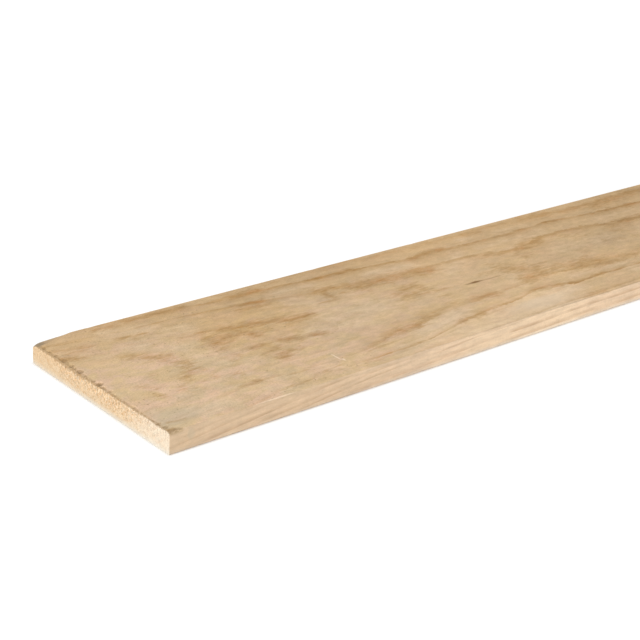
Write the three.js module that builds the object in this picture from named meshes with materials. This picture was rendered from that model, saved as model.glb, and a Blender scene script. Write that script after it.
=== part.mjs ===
// A dressed softwood plank, 190 x 19 mm in section and 1.8 m long, lying flat.
// Millimetres, +X along the grain, +Y across the width, +Z up through the thickness.
// The origin is under the middle of the plank, on the surface that it lies on.
//
// One length of sawn stock is one solid. It is a loft: the dressed section is set out at
// stations along the length, and neighbouring sections are skinned together. Three of the
// four long arrises stay as the planer left them. The fourth carries the planer skip, a scant
// corner of the sawn blank that the knives passed over, which starts at one end of the plank
// and runs out along the arris.

import * as THREE from 'three';

// Driving dimensions.
const LENGTH = 1800;
const WIDTH = 190;
const THICKNESS = 19;
// How far the moulding knives ease each long arris, along either face.
const ARRIS_EASE = 0.5;

// The planer skip, on the upper arris at +Y: its size at the -X end, where it starts, and the
// length that it runs out over.
const SKIP_WIDTH = 12;
const SKIP_DEPTH = 2.2;
const SKIP_RUN = 36;
// How full the skip is between its two edges: 0 is a flat cut, 1 nearly fills the corner.
const SKIP_FULLNESS = 0.3;
// At the very end the corner is knocked down further, over a shorter run.
const KNOCK_DEPTH = 2.4;
const KNOCK_RUN = 8;

// Spans round each arris, and spans along the skip.
const ARRIS_SPANS = 6;
const SKIP_SPANS = 16;

// The share of a tapering cut that is left at a distance from the end: 1 there, 0 at its run.
function taper(distance, run, power) {
  return Math.max(0, 1 - distance / run) ** power;
}

// The skipped arris at a distance from the end: how far it reaches over the upper face, how
// far down the edge, and how full it is. Past its run it is an eased arris like the others.
function skippedArris(distance) {
  const spread = taper(distance, SKIP_RUN, 1);
  const knock = taper(distance, KNOCK_RUN, 2);
  return {
    over: THREE.MathUtils.lerp(ARRIS_EASE, SKIP_WIDTH, spread),
    down: THREE.MathUtils.lerp(ARRIS_EASE, SKIP_DEPTH, spread) + KNOCK_DEPTH * knock,
    fullness: THREE.MathUtils.lerp(1, SKIP_FULLNESS, Math.sqrt(spread)),
  };
}

// One arris as a curve between the two faces of its corner. The control point lies between
// the middle of the chord and the corner itself.
function arrisCurve(corner, start, end, fullness) {
  const control = start.clone().add(end).multiplyScalar(0.5).lerp(corner, fullness);
  return new THREE.QuadraticBezierCurve(start, control, end);
}

// The outline of the section at a distance from the end, as points in the Y, Z plane. It runs
// anticlockwise as seen from +X, so an arris whose side and level agree starts on the edge.
function sectionAt(distance) {
  const eased = { over: ARRIS_EASE, down: ARRIS_EASE, fullness: 1 };
  const arrises = [
    { side: -1, level: -1, ...eased },
    { side: 1, level: -1, ...eased },
    { side: 1, level: 1, ...skippedArris(distance) },
    { side: -1, level: 1, ...eased },
  ];
  return arrises.flatMap(({ side, level, over, down, fullness }) => {
    const corner = new THREE.Vector2((side * WIDTH) / 2, (1 + level) * THICKNESS / 2);
    const onFace = corner.clone().sub(new THREE.Vector2(side * over, 0));
    const onEdge = corner.clone().sub(new THREE.Vector2(0, level * down));
    const [start, end] = side === level ? [onEdge, onFace] : [onFace, onEdge];
    return arrisCurve(corner, start, end, fullness).getPoints(ARRIS_SPANS);
  });
}

// Distances of the sections from the -X end: closest together where the skip is deepest,
// then one at the far end of the plank.
function stationDistances() {
  const alongSkip = Array.from(
    { length: SKIP_SPANS + 1 },
    (_, station) => SKIP_RUN * (station / SKIP_SPANS) ** 2,
  );
  return [...alongSkip, LENGTH];
}

// Skins the sections together and closes both ends. Every section has the same number of
// points, so point k of one section joins point k of the next.
function loftedSolid(distances, sections) {
  const count = sections[0].length;
  const positions = sections.flatMap((section, station) =>
    section.flatMap((point) => [distances[station] - LENGTH / 2, point.x, point.y]));
  const index = [];
  for (let station = 0; station < sections.length - 1; station += 1) {
    const here = station * count;
    const next = here + count;
    for (let k = 0; k < count; k += 1) {
      const after = (k + 1) % count;
      index.push(here + k, here + after, next + after);
      index.push(here + k, next + after, next + k);
    }
  }
  const lastRing = (sections.length - 1) * count;
  for (const [a, b, c] of THREE.ShapeUtils.triangulateShape(sections[0], [])) {
    index.push(c, b, a);
  }
  for (const [a, b, c] of THREE.ShapeUtils.triangulateShape(sections.at(-1), [])) {
    index.push(lastRing + a, lastRing + b, lastRing + c);
  }
  const geometry = new THREE.BufferGeometry();
  geometry.setAttribute('position', new THREE.Float32BufferAttribute(positions, 3));
  geometry.setIndex(index);
  return geometry;
}

const distances = stationDistances();
const pine = new THREE.MeshStandardMaterial({
  color: '#d6b797',
  roughness: 0.72,
  metalness: 0,
  flatShading: true,
});
const plank = new THREE.Mesh(loftedSolid(distances, distances.map(sectionAt)), pine);
plank.name = 'plank';

const model = new THREE.Group();
model.add(plank);

export default model;
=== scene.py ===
import math

import bmesh
import bpy
import numpy as np
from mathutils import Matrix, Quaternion, Vector


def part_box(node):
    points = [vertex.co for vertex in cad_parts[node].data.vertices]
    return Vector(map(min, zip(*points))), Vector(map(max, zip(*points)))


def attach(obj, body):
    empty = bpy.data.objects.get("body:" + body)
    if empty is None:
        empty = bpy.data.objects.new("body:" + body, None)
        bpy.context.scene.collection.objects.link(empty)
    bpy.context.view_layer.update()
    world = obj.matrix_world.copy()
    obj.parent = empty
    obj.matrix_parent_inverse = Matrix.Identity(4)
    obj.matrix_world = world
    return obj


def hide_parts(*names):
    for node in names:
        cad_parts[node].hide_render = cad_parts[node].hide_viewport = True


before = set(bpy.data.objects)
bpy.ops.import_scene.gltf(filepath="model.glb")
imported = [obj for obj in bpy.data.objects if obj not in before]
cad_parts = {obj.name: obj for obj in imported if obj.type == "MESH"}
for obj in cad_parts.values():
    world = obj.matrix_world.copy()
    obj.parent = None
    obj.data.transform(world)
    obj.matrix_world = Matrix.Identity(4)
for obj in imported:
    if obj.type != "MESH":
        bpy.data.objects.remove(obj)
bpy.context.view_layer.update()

# ---------------------------------------------------------------- sizes
# Everything below is worked out in millimetres from one corner of the plank: x along the
# grain from the skip end, y across from the near edge, z up from the underside.

MM = 0.001
node_low, node_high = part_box("plank")
LENGTH, WIDTH, THICKNESS = ((node_high - node_low) / MM)[:]
CORNER = np.array(node_low) / MM

ARRIS_EASE = 0.5
END_EASE = 0.3
END_SET_BACK = 0.35
FACE_SET_BACK = 0.03

SKIP_WIDTH = 12.0
SKIP_DEPTH = 2.2
SKIP_RUN = 36.0
SKIP_FULLNESS = 0.3
KNOCK_DEPTH = 2.4
KNOCK_RUN = 8.0

# Mesh spans across a face, up an edge, round an arris and round an end's rim, and the rings
# that close each end.
FACE_SPANS = 150
EDGE_SPANS = 14
ARRIS_SPANS = 4
RIM_SPANS = 3
END_RINGS = 10
# Rings along the plank: the first step at each end, its growth from ring to ring and the
# number of such steps, then the even step as far as the figure is drawn, and the one beyond.
OPENING_STEPS = (0.55, 1.05, 48)
CLOSING_STEPS = (0.7, 1.2, 18)
DRAWN_REACH = 790.0
DRAWN_STEP = 6.0
PLAIN_STEP = 16.0
# Faces that meet at more than this angle, in degrees, keep a crisp line between them.
SHARP_ANGLE = 40
# Space between the parts of the layout for baked textures.
SHEET_GAP = 4.0

# Growth. The heart of the log lies above the upper face, so the rings hang like bowls.
PITH_ACROSS = 94.5
PITH_HEIGHT = 119.0
# A ring's boldness holds for this share of a ring beyond its end.
RING_TAIL = 0.15
# Radius of each ring's dark latewood at the skip end, and how boldly it shows.
RINGS = (
    (98.0, 0.3), (103.0, 0.4), (110.3, 0.6), (113.4, 0.6), (116.3, 0.8), (121.4, 0.8),
    (125.5, 0.4), (130.7, 1.0), (136.0, 0.5), (140.8, 0.7), (144.6, 0.3), (148.2, 0.8),
    (153.7, 0.7), (158.0, 0.5), (160.9, 0.65), (166.8, 0.9), (172.3, 0.7), (178.0, 0.9),
    (183.8, 0.9), (188.6, 0.6), (193.4, 0.8), (198.0, 0.6),
)
# The wood passes from an edge's look to a face's between these two distances from the edge.
EDGE_BLEND = (0.05, 0.45)
# The upper face's own figure fades away between these two depths below it.
FACE_BLEND = (1.0, 3.0)
# How boldly the thin rings show on the edges and on the upper face, next to the ends, and the
# x over which they appear on the edges.
EDGE_BOLDNESS = 0.68
EDGE_START = (-10.0, 40.0)
FACE_BOLDNESS = 0.2
# The rise of the rings on the faces: its height and the reach over which it bends, and the
# later rise with the place where it starts and its power.
RISE = 27.0
RISE_REACH = 245.0
LATE_RISE = 20.0
LATE_START = 700.0
LATE_POWER = 1.6
# The rise of the rings as the near edge shows it: points of x and rise.
EDGE_RISE = (
    (-10, -1.0), (0, 0.0), (160, 13.2), (200, 16.2), (240, 17.8), (280, 18.9), (320, 20.9),
    (400, 22.4), (470, 24.0), (510, 23.1), (620, 25.0), (760, 27.0), (1000, 29.0),
    (1300, 34.0), (1550, 39.0), (1800, 47.0),
)
# The most that a drawn line may add to or take from the radius.
PULL_LIMIT = 6.0
# Places where the rings swell or pinch: x, y, reach along, reach across, amount.
SWELLS = (
    (80, 88, 48, 30, 2.4),
    (188, 91, 22, 8, 2.6),
    (222, 110, 26, 8, -1.3),
    (206, 74, 26, 9, -2.0),
    (345, 99, 22, 14, 1.4),
    (760, 84, 90, 26, 2.6),
    (1420, 100, 120, 26, -3.0),
    (1640, 84, 100, 24, 3.2),
)

# The bold rings as they run over the upper face. Each is a far line and a near line, and a
# line is a row of points: x, the y of its crisp outer edge, the band's width, its boldness.
HEART_FAR = (
    (-10, 180, 5, 0.2), (60, 171, 4, 0.25), (125, 167, 2.5, 0.6), (165, 163, 2.5, 0.5),
    (183, 161, 5, 0.6), (195, 161, 6, 0.9), (212, 158, 6, 0.9), (222, 155, 4, 0.3),
    (245, 149, 3, 0.2), (262, 148, 5, 0.5), (268, 148, 6, 0.7), (286, 147, 6, 0.6),
    (296, 145, 12, 0.6), (320, 144, 13, 0.6), (345, 141, 11, 0.55), (370, 139, 11, 0.6),
    (392, 138, 9, 0.6), (405, 137, 6, 0.4), (450, 137, 6, 0.6), (462, 133, 10, 0.7),
    (485, 127, 12, 0.6), (505, 128, 14, 0.75), (520, 132, 15, 0.9), (545, 136, 9, 0.65),
    (570, 137, 7, 0.6), (590, 136, 8, 0.65), (615, 132, 10, 0.5), (640, 126, 14, 0.85),
    (690, 124, 12, 0.85), (760, 124, 10, 0.6), (850, 119, 9, 0.7), (950, 121, 14, 0.8),
    (1040, 113, 16, 0.7), (1100, 104, 20, 0.8), (1140, 93, 20, 0.9), (1200, 70, 20, 0.8),
)
HEART_NEAR = (
    (-10, 8, 4, 0.1), (60, 22, 4, 0.1), (95, 29, 4, 0.3), (110, 29, 4, 0.3),
    (150, 27, 2, 0.2), (205, 26, 3, 0.1), (228, 29, 7, 0.45), (250, 35, 9, 0.6),
    (275, 37, 10, 0.8), (288, 38, 9, 0.8), (297, 42, 9, 0.7), (320, 46, 10, 0.7),
    (335, 51, 7, 0.3), (370, 51, 6, 0.45), (390, 51, 8, 0.85), (408, 54, 5, 0.4),
    (430, 54, 5, 0.3), (450, 57, 8, 0.8), (480, 58, 7, 0.7), (505, 55, 8, 0.6),
    (520, 50, 12, 0.7), (545, 46, 14, 0.6), (560, 44, 14, 0.6), (590, 46, 12, 0.6),
    (700, 48, 8, 0.6), (800, 55, 9, 0.7), (900, 58, 12, 0.8), (1000, 70, 16, 0.8),
    (1080, 80, 20, 0.8), (1140, 92, 20, 0.9), (1200, 110, 20, 0.8),
)
MIDDLE_FAR = (
    (-10, 205, 5, 0.4), (70, 191, 6, 0.5), (100, 188, 9, 0.55), (150, 182, 6, 0.55),
    (165, 179, 4, 0.6), (195, 179, 7, 1.0), (225, 178, 6, 0.9), (240, 176, 4, 0.7),
    (265, 175, 5, 0.85), (280, 173, 6, 1.0), (325, 171, 6, 1.0), (345, 168, 4, 0.85),
    (365, 166, 4, 0.8), (385, 162, 6, 0.9), (400, 164, 9, 0.75), (430, 166, 10, 0.85),
    (445, 163, 7, 0.8), (470, 161, 6, 0.75), (500, 160, 6, 0.5), (550, 161, 6, 0.85),
    (563, 160, 4, 0.4), (572, 162, 6, 0.9), (602, 163, 6, 0.9), (608, 160, 4, 0.5),
    (635, 157, 5, 0.7), (648, 155, 6, 0.95), (700, 154, 6, 1.0), (760, 150, 4, 0.7),
    (860, 153, 4, 0.8), (1000, 147, 3, 0.5), (1150, 150, 4, 0.8), (1300, 143, 4, 0.6),
    (1450, 146, 5, 0.8), (1600, 139, 4, 0.6), (1800, 141, 5, 0.8),
)
MIDDLE_NEAR = (
    (-10, -18, 4, 0.2), (70, -2, 3, 0.2), (110, 7, 3, 0.3), (135, 8, 4, 0.4),
    (160, 10, 2, 0.2), (205, 11, 2.5, 0.3), (228, 11, 2.5, 0.75), (275, 13, 2.5, 0.75),
    (300, 18, 2, 0.4), (328, 25, 4, 0.6), (345, 26, 7, 0.8), (358, 29, 4, 0.6),
    (390, 31, 5, 0.8), (402, 31, 5, 0.7), (412, 34, 2, 0.3), (430, 38, 5, 0.7),
    (440, 40, 5, 0.85), (458, 38, 5, 0.85), (470, 33, 5, 0.85), (480, 30, 5, 0.85),
    (520, 31, 5, 0.85), (560, 31, 3, 0.75), (600, 30, 3, 0.6), (700, 34, 4, 0.7),
    (850, 38, 4, 0.6), (1000, 36, 4, 0.8), (1150, 44, 5, 0.7), (1300, 48, 4, 0.6),
    (1450, 45, 5, 0.8), (1600, 53, 5, 0.7), (1800, 56, 5, 0.8),
)
OUTER_FAR = (
    (-10, 217, 4, 0.3), (150, 201, 4, 0.3), (300, 191, 6, 0.5), (400, 186, 8, 0.4),
    (470, 184, 6, 0.35), (500, 186, 5, 0.4), (570, 186, 9, 0.55), (598, 184, 9, 0.55),
    (620, 179, 6, 0.6), (690, 181, 9, 0.8), (760, 182, 9, 0.8), (900, 178, 5, 0.6),
    (1100, 180, 5, 0.5), (1300, 174, 5, 0.7), (1500, 176, 5, 0.6), (1800, 170, 5, 0.6),
)
OUTER_NEAR = (
    (-10, -28, 4, 0.3), (300, -3, 3, 0.3), (430, 3, 3, 0.3), (455, 3, 3, 0.3),
    (478, 2, 3, 0.5), (500, 3, 4, 0.45), (600, 6, 3, 0.4), (800, 10, 4, 0.6),
    (1000, 8, 4, 0.6), (1200, 14, 4, 0.7), (1500, 12, 5, 0.6), (1800, 20, 5, 0.6),
)
# Each bold ring: its name, its radius at the skip end, its near line and its far line.
BOLD_RINGS = (
    ("outer", 158.0, OUTER_NEAR, OUTER_FAR),
    ("middle", 145.4, MIDDLE_NEAR, MIDDLE_FAR),
    ("heart", 130.7, HEART_NEAR, HEART_FAR),
)

# Blotches of dark wood on the upper face: from x, y to x, y, half width, strength.
BLOTCHES = (
    # Along the far edge.
    (52, 182, 74, 181, 3, 0.7), (84, 183, 142, 183, 4, 0.85), (116, 178, 136, 180, 3, 0.7),
    (160, 179, 176, 178, 2, 0.5), (190, 177, 222, 176, 6, 1.0), (286, 170, 326, 170, 3, 1.0),
    (184, 186, 214, 183, 2.5, 0.4), (232, 184, 262, 183, 3, 0.45),
    (290, 183, 330, 182, 3, 0.5), (346, 182, 372, 181, 3, 0.5), (396, 179, 424, 179, 4, 0.5),
    (430, 182, 460, 181, 4, 0.5), (482, 181, 504, 178, 5, 0.75), (540, 181, 562, 180, 4, 0.5),
    (568, 181, 602, 178, 7, 0.85), (620, 176, 662, 173, 6, 0.7),
    (676, 152, 708, 150, 6, 0.8), (668, 170, 700, 174, 9, 0.95), (700, 174, 760, 176, 9, 0.85),
    # Near the skip end's far corner.
    (0, 176, 32, 170, 2, 0.6), (2, 165, 28, 160, 3, 0.5), (8, 154, 34, 158, 4, 0.5),
    (0, 150, 12, 143, 4, 0.9), (4, 145, 20, 141, 3, 0.8), (58, 157, 84, 155, 3, 0.7),
    (60, 150, 74, 149, 2, 0.6),
    # The arch round the skip end.
    (44, 126, 60, 117, 6, 0.65), (58, 115, 73, 107, 7, 0.75), (70, 105, 79, 92, 6.5, 0.6),
    (79, 92, 77, 78, 7, 0.65), (77, 77, 62, 67, 7, 0.65), (72, 84, 80, 76, 5, 0.7),
    (45, 84, 42, 80, 4, 0.4), (24, 74, 34, 66, 4, 0.5), (26, 58, 30, 50, 4, 0.6),
    (50, 52, 60, 48, 5, 0.5), (66, 60, 84, 56, 5, 0.4), (96, 52, 104, 50, 3, 0.5),
    # The figure over the pith, from left to right.
    (104, 130, 122, 131, 3, 0.5), (120, 131, 150, 126, 3.5, 0.8),
    (142, 125, 162, 121, 6.5, 0.95), (160, 122, 184, 118, 6.5, 0.95),
    (186, 117, 206, 111, 6, 0.85), (200, 110, 226, 109, 5, 1.0),
    (196, 105, 206, 106, 4, 0.6), (122, 118, 132, 112, 7, 0.85),
    (120, 106, 142, 112, 7, 0.9), (152, 116, 160, 102, 7, 0.9),
    (160, 104, 178, 108, 6, 0.55), (118, 98, 124, 94, 4, 0.6), (138, 83, 154, 82, 4, 0.8),
    (170, 82, 182, 79, 5, 0.8), (180, 78, 198, 76, 5.5, 0.65), (196, 76, 212, 73, 4, 0.8),
    (150, 70, 160, 74, 6, 0.65), (142, 67, 150, 67, 4, 0.6), (150, 60, 176, 61, 3, 0.7),
    (151, 55, 159, 61, 6, 0.85), (112, 72, 122, 78, 5, 0.45),
    (180, 159, 212, 158, 3, 0.7), (180, 151, 214, 149, 4.5, 0.75),
    (244, 150, 260, 146, 5, 0.5), (262, 145, 284, 145, 5, 1.0), (265, 142, 267, 131, 5, 0.85),
    (268, 132, 288, 131, 4, 0.6), (250, 124, 275, 123, 2, 0.6),
    (297, 139, 306, 132, 8, 0.95), (306, 136, 340, 134, 9, 0.9),
    (348, 133, 368, 133, 8, 0.85), (372, 130, 388, 129, 8, 0.95),
    (322, 93, 350, 96, 8, 0.68), (318, 101, 336, 104, 6, 0.6), (334, 107, 350, 108, 7, 0.8),
    (346, 104, 352, 96, 6, 0.8), (352, 88, 372, 88, 2, 0.7), (300, 101, 322, 101, 4, 0.4),
    (353, 76, 362, 75, 3, 0.5), (392, 161, 412, 162, 4, 0.6), (414, 162, 436, 162, 5.5, 1.0),
    (418, 94, 470, 96, 4, 0.45), (455, 126, 470, 129, 5, 0.8), (452, 94, 478, 74, 12, 0.75),
    (486, 108, 500, 120, 5, 0.7), (500, 119, 518, 121, 5, 0.65), (512, 126, 538, 127, 7, 0.9),
    (492, 102, 502, 112, 5, 0.6), (566, 124, 600, 124, 7, 0.5), (598, 92, 640, 84, 6, 0.4),
    (622, 112, 636, 98, 6, 0.55), (642, 120, 690, 121, 6, 0.8), (575, 112, 600, 112, 8, 0.35),
    # Towards the near edge.
    (224, 32, 244, 35, 5, 0.6), (250, 39, 268, 42, 5, 0.7), (266, 41, 288, 41, 6, 0.85),
    (296, 45, 306, 52, 6, 0.85), (306, 49, 318, 49, 5, 0.8), (330, 54, 352, 58, 6, 0.5),
    (350, 60, 372, 56, 4, 0.4), (372, 56, 400, 54, 5, 0.85), (450, 64, 472, 65, 9, 0.88),
    (470, 68, 502, 68, 9, 0.7), (512, 62, 546, 60, 11, 0.85), (532, 56, 556, 54, 9, 0.85),
    (560, 54, 590, 54, 8, 0.7), (500, 72, 560, 68, 6, 0.4), (480, 84, 500, 84, 2, 0.4),
    (92, 31, 110, 31, 3, 0.8), (130, 26, 152, 26, 1.5, 0.5), (122, 10, 140, 10, 2.5, 0.6),
    (150, 14, 180, 17, 2, 0.5), (200, 8, 212, 9, 3, 0.4), (228, 12, 272, 13, 2, 0.6),
    (215, 25, 246, 27, 1.5, 0.6), (328, 27, 356, 28, 4, 0.7),
    (474, 6, 490, 5, 4.5, 0.6), (1, 4, 6, 3, 2, 0.9),
    (8, 13, 22, 11, 1.8, 0.8), (440, 39, 472, 35, 3, 0.7),
    # Beyond the reach of the drawn lines.
    (830, 96, 870, 90, 5, 0.5), (905, 88, 960, 94, 6, 0.5), (1240, 92, 1300, 88, 7, 0.5),
    (1330, 104, 1390, 98, 4, 0.5), (1480, 86, 1540, 92, 6, 0.5), (1690, 98, 1760, 94, 5, 0.5),
)
# Pale places on the upper face and down the near edge, given in the same way.
PALE_PLACES = (
    (14, 24, 62, 16, 8, 0.8), (56, 168, 92, 162, 8, 0.6), (104, 146, 122, 144, 7, 0.5),
    (54, 138, 70, 134, 7, 0.5), (88, 124, 96, 96, 8, 0.5), (228, 140, 250, 120, 8, 0.5),
    (100, 14, 200, 16, 8, 0.3), (250, 12, 350, 14, 9, 0.6), (236, 96, 290, 92, 16, 0.6),
    (200, 78, 260, 72, 10, 0.5), (282, 29, 340, 39, 9, 1.0), (322, 41, 338, 41, 6, 0.7),
    (230, 164, 270, 162, 5, 0.5), (330, 152, 380, 150, 6, 0.6), (404, 20, 470, 24, 11, 0.9),
    (322, -6, 436, -2, 22, 1.0), (436, 60, 442, 78, 6, 0.5), (400, 112, 440, 146, 7, 0.5),
    (470, 146, 560, 144, 7, 0.35), (468, 172, 480, 170, 4, 0.5), (515, 168, 560, 167, 4, 0.35),
    (530, 40, 560, 40, 5, 0.5), (490, 44, 520, 44, 4, 0.4), (560, 24, 610, 20, 8, 0.5),
    (640, 140, 700, 138, 7, 0.3), (660, 100, 720, 92, 10, 0.4), (540, 96, 600, 96, 10, 0.4),
    (900, 30, 1000, 26, 12, 0.5), (1200, 150, 1300, 152, 12, 0.5), (1500, 60, 1600, 66, 12, 0.5),
)

# Slow changes of tone over the upper face: x, y, reach along, reach across, amount.
TONES = (
    (60, 174, 60, 12, 0.04), (110, 188, 70, 5, 0.04), (15, 10, 22, 12, 0.04),
    (165, 106, 48, 28, -0.02), (160, 62, 60, 20, -0.04), (245, 84, 60, 32, -0.06),
    (225, 150, 55, 18, -0.05), (350, 10, 95, 13, 0.08), (408, 34, 50, 12, 0.13),
    (470, 60, 90, 14, 0.08), (425, 178, 55, 13, 0.20), (590, 180, 90, 13, 0.13),
    (440, 150, 62, 15, 0.07), (490, 128, 65, 13, 0.07), (565, 84, 45, 16, -0.06),
    (612, 100, 45, 22, -0.12), (430, 24, 40, 16, 0.05), (382, 140, 30, 22, 0.06),
    (172, 130, 36, 13, 0.05), (550, 128, 40, 14, 0.05), (265, 126, 20, 12, -0.06),
    (668, 130, 24, 12, -0.06), (508, 84, 26, 12, -0.06), (226, 37, 18, 12, -0.04),
    # The last one darkens the skip next to the end: painted shade, as on the skip.
    (545, 36, 20, 12, -0.05), (5, 184, 7, 5, -0.13),
)


# ---------------------------------------------------------------- arrays
# How many random values the noise draws from, and large primes that mix up its lattice.
NOISE_VALUES = 4096
NOISE_MIX = (73856093, 19349663, 83492791)
# How far apart the places are that a drawn line is averaged over.
LINE_STEP = 7.0


def smooth_step(value, low, high):
    """0 below the low value and 1 above the high one, eased in between as 3t2 - 2t3."""
    t = np.clip((value - low) / (high - low), 0, 1)
    return t * t * (3 - 2 * t)


def lattice_noise(points, amount, pitch, seed):
    """Smooth noise between the amount and its opposite: random values on a lattice of the
    given pitch, blended between the eight lattice points round each point with a smooth step
    along each axis."""
    table = np.random.default_rng(seed).uniform(-1, 1, NOISE_VALUES)
    cell = points / np.asarray(pitch, float)
    base = np.floor(cell).astype(np.int64)
    ease = smooth_step(cell - base, 0, 1)
    total = np.zeros(points.shape[:-1])
    for corner in np.ndindex(2, 2, 2):
        mixed = np.bitwise_xor.reduce((base + corner) * NOISE_MIX, axis=-1)
        total += table[mixed % NOISE_VALUES] * np.where(corner, ease, 1 - ease).prod(-1)
    return amount * total


def along_line(line, x, column):
    """A column of a ring line's points at each x: straight between points, then averaged over
    three places a step apart so that the line bends softly."""
    points = np.array(line)
    places = (x - LINE_STEP, x, x + LINE_STEP)
    return sum(np.interp(place, points[:, 0], points[:, column]) for place in places) / 3


def bell(points, x, y, reach_along, reach_across):
    """A soft spot seen from above: 1 at x, y, dying away as a bell curve over its reaches."""
    along = (points[..., 0] - x) / reach_along
    across = (points[..., 1] - y) / reach_across
    return np.exp(-(along ** 2 + across ** 2))


def rise(x):
    """How far the rings have risen towards the upper face at each x: fast near the skip end,
    hardly at all in the middle, and faster again towards the other end. It is the rise times
    one less a falling exponential, plus the late rise times a power of the way past its start."""
    late = np.maximum(x - LATE_START, 0.0) / (LENGTH - LATE_START)
    return RISE * (1 - np.exp(-x / RISE_REACH)) + LATE_RISE * late ** LATE_POWER


def line_pull(x, y):
    """The radius to add so that the bold rings pass through their lines on the upper face: at
    each line the ring's radius less the plain one there, and eased across between lines."""
    lines = [(line, radius) for _, radius, line, _ in BOLD_RINGS]
    lines += [(line, radius) for _, radius, _, line in reversed(BOLD_RINGS)]
    places, wanted = [], []
    for line, radius in lines:
        place = along_line(line, x, 1)
        plain = np.hypot(place - PITH_ACROSS, PITH_HEIGHT - THICKNESS) + rise(x)
        places.append(place)
        wanted.append(np.clip(radius - plain, -PULL_LIMIT, PULL_LIMIT))
    pull = wanted[0]
    for k in range(len(lines) - 1):
        gap = np.maximum(places[k + 1] - places[k], 1.0)
        pull = pull + (wanted[k + 1] - wanted[k]) * smooth_step((y - places[k]) / gap, 0, 1)
    return pull


def growth_radius(points):
    """Radius of the growth surface through each point, as it was at the skip end: the distance
    from the pith, plus the rise of the rings along the plank with the pull of the drawn lines,
    or the near edge's own rise, and the local swells."""
    x, y, z = points[..., 0], points[..., 1], points[..., 2]
    risen = rise(x) + line_pull(x, y)
    on_edge = along_line(EDGE_RISE, x, 1)
    inner = smooth_step(y, *EDGE_BLEND)
    radius = np.hypot(y - PITH_ACROSS, PITH_HEIGHT - z) + on_edge + (risen - on_edge) * inner
    for *spot, amount in SWELLS:
        radius += amount * bell(points, *spot)
    return radius


def ring_band(near, far, points):
    """How far inside a bold ring's outer edge each point of the upper face lies, in band
    widths, and how bold the band is there. The nearer of the ring's two lines counts."""
    x, y = points[..., 0], points[..., 1]
    to_near = y - along_line(near, x, 1)
    to_far = along_line(far, x, 1) - y
    on_near = to_near < to_far
    width = np.where(on_near, along_line(near, x, 2), along_line(far, x, 2))
    bold = np.where(on_near, along_line(near, x, 3), along_line(far, x, 3))
    return np.clip(np.minimum(to_near, to_far) / width, -3, 3), bold


def patch_share(patches, points):
    """How strongly a table's patches show at each point: each fades evenly from its strength
    on its centre line to nothing at twice its half width, and the strongest one counts."""
    place = points[..., :2]
    share = np.zeros(place.shape[:-1])
    for x0, y0, x1, y1, half, strength in patches:
        start = np.array([x0, y0], float)
        run = np.array([x1 - x0, y1 - y0], float)
        t = np.clip((place - start) @ run / (run @ run), 0, 1)
        away = np.linalg.norm(place - start - t[..., None] * run, axis=-1) / half
        share = np.maximum(share, strength * np.clip(1 - away / 2, 0, 1))
    return share


def tone_change(points):
    """How much lighter or darker the wood is at each point: the sum of the slow changes, each
    dying away as a bell curve over its reaches."""
    change = np.zeros(points.shape[:-1])
    for *spot, amount in TONES:
        change += amount * bell(points, *spot)
    return change


def taper(distance, run, power):
    """The share of a tapering cut that is left: 1 at the end, falling to 0 at its run."""
    return np.maximum(0.0, 1.0 - distance / run) ** power


def arris(corner, on_one, on_other, fullness):
    """Points round one arris at every station: a quadratic curve from one face of the corner
    to the other, its control point between the chord's middle and the corner."""
    t = np.linspace(0, 1, ARRIS_SPANS + 1)[None, :, None]
    middle = (on_one + on_other) / 2
    control = middle + (corner - middle) * fullness[:, None]
    one, other, control = on_one[:, None], on_other[:, None], control[:, None]
    return (1 - t) ** 2 * one + 2 * t * (1 - t) * control + t ** 2 * other


def flat(start, end, spans):
    """Points along a flat stretch at every station, without its two end points."""
    t = np.linspace(0, 1, spans + 1)[None, 1:-1, None]
    return start[:, None] * (1 - t) + end[:, None] * t


def sections(distance):
    """The section's outline at each distance from the skip end: four arrises joined by four
    flat stretches, anticlockwise from the near lower arris. The far upper arris is the skip."""
    count = len(distance)
    spread = taper(distance, SKIP_RUN, 1)
    eased = np.full(count, ARRIS_EASE)
    over = [eased, eased, ARRIS_EASE + (SKIP_WIDTH - ARRIS_EASE) * spread, eased]
    skip_down = ARRIS_EASE + (SKIP_DEPTH - ARRIS_EASE) * spread
    skip_down = skip_down + KNOCK_DEPTH * taper(distance, KNOCK_RUN, 2)
    down = [eased, eased, skip_down, eased]
    full = np.ones(count)
    fullness = [full, full, 1 + (SKIP_FULLNESS - 1) * np.sqrt(spread), full]
    parts, ends = [], []
    for k, (side, level) in enumerate(((-1, -1), (1, -1), (1, 1), (-1, 1))):
        corner = np.array([(1 + side) / 2 * WIDTH, (1 + level) / 2 * THICKNESS])
        on_face = corner - np.stack([side * over[k], 0 * eased], -1)
        on_edge = corner - np.stack([0 * eased, level * down[k]], -1)
        pair = (on_edge, on_face) if side == level else (on_face, on_edge)
        parts.append(arris(corner, *pair, fullness[k]))
        ends.append(pair)
    spans = (FACE_SPANS, EDGE_SPANS, FACE_SPANS, EDGE_SPANS)
    ring = []
    for k in range(4):
        ring += [parts[k], flat(ends[k][1], ends[(k + 1) % 4][0], spans[k])]
    return np.concatenate(ring, 1)


def middle_line():
    """For each point round the section, where its straight way inwards ends: on the line
    through the section's middle, spread evenly for the faces and at its ends for the edges."""
    inner = np.linspace(THICKNESS / 2, WIDTH - THICKNESS / 2, FACE_SPANS + 1)
    turn = np.zeros(ARRIS_SPANS + 1)
    near, far = inner[0], inner[-1]
    return np.concatenate([
        turn + near, inner[1:-1], turn + far, np.full(EDGE_SPANS - 1, far),
        turn + far, inner[-2:0:-1], turn + near, np.full(EDGE_SPANS - 1, near)])


def growing_steps(first, growth, count):
    """Distances reached by steps of which each is longer than the last by a steady ratio."""
    return np.cumsum(first * growth ** np.arange(count))


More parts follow.
